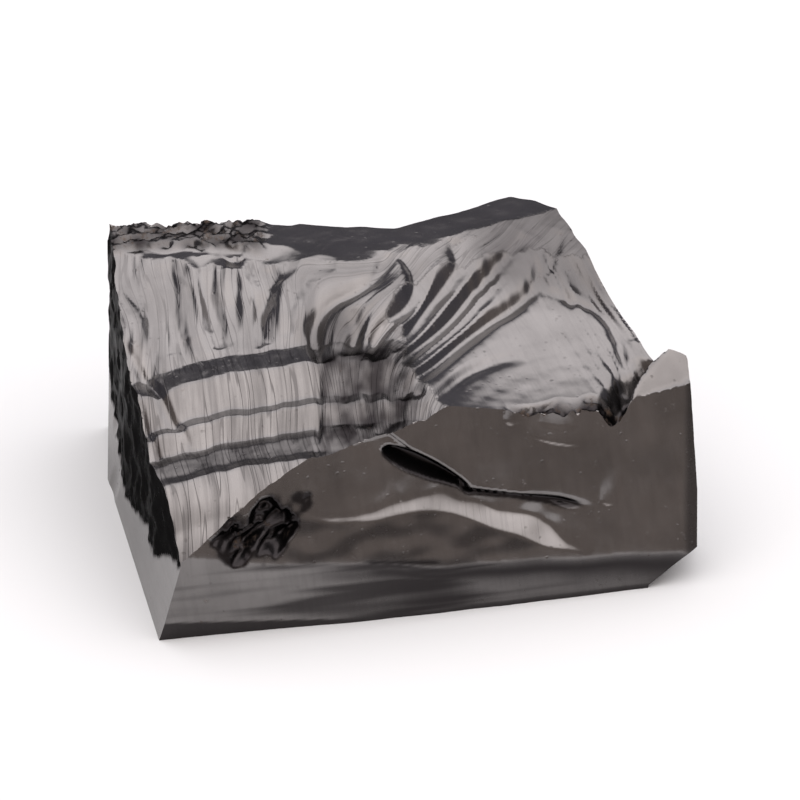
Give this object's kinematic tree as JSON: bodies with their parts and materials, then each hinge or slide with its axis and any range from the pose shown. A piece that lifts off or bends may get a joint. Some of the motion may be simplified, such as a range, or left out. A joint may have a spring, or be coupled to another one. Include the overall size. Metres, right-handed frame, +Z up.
{
  "type": "rough elite shungite chip",
  "caption": "Rough chip of elite shungite, a glassy silvery-black mineral carbon, with a rippled top, a smooth scoop and cleaved sides. Rests on its flat underside.",
  "frame": {"origin": "on the table, under the middle of the chip's box", "axes": "+X along the chip's width, its longest extent, +Y to its back, +Z up, its shortest extent"},
  "size_m": [0.0246, 0.0193, 0.0109],
  "materials": {
    "elite_shungite": "glassy silvery black, as broken"
  },
  "bodies": {
    "root": {"shungite_chip": "elite_shungite"}
  },
  "joints": []
}
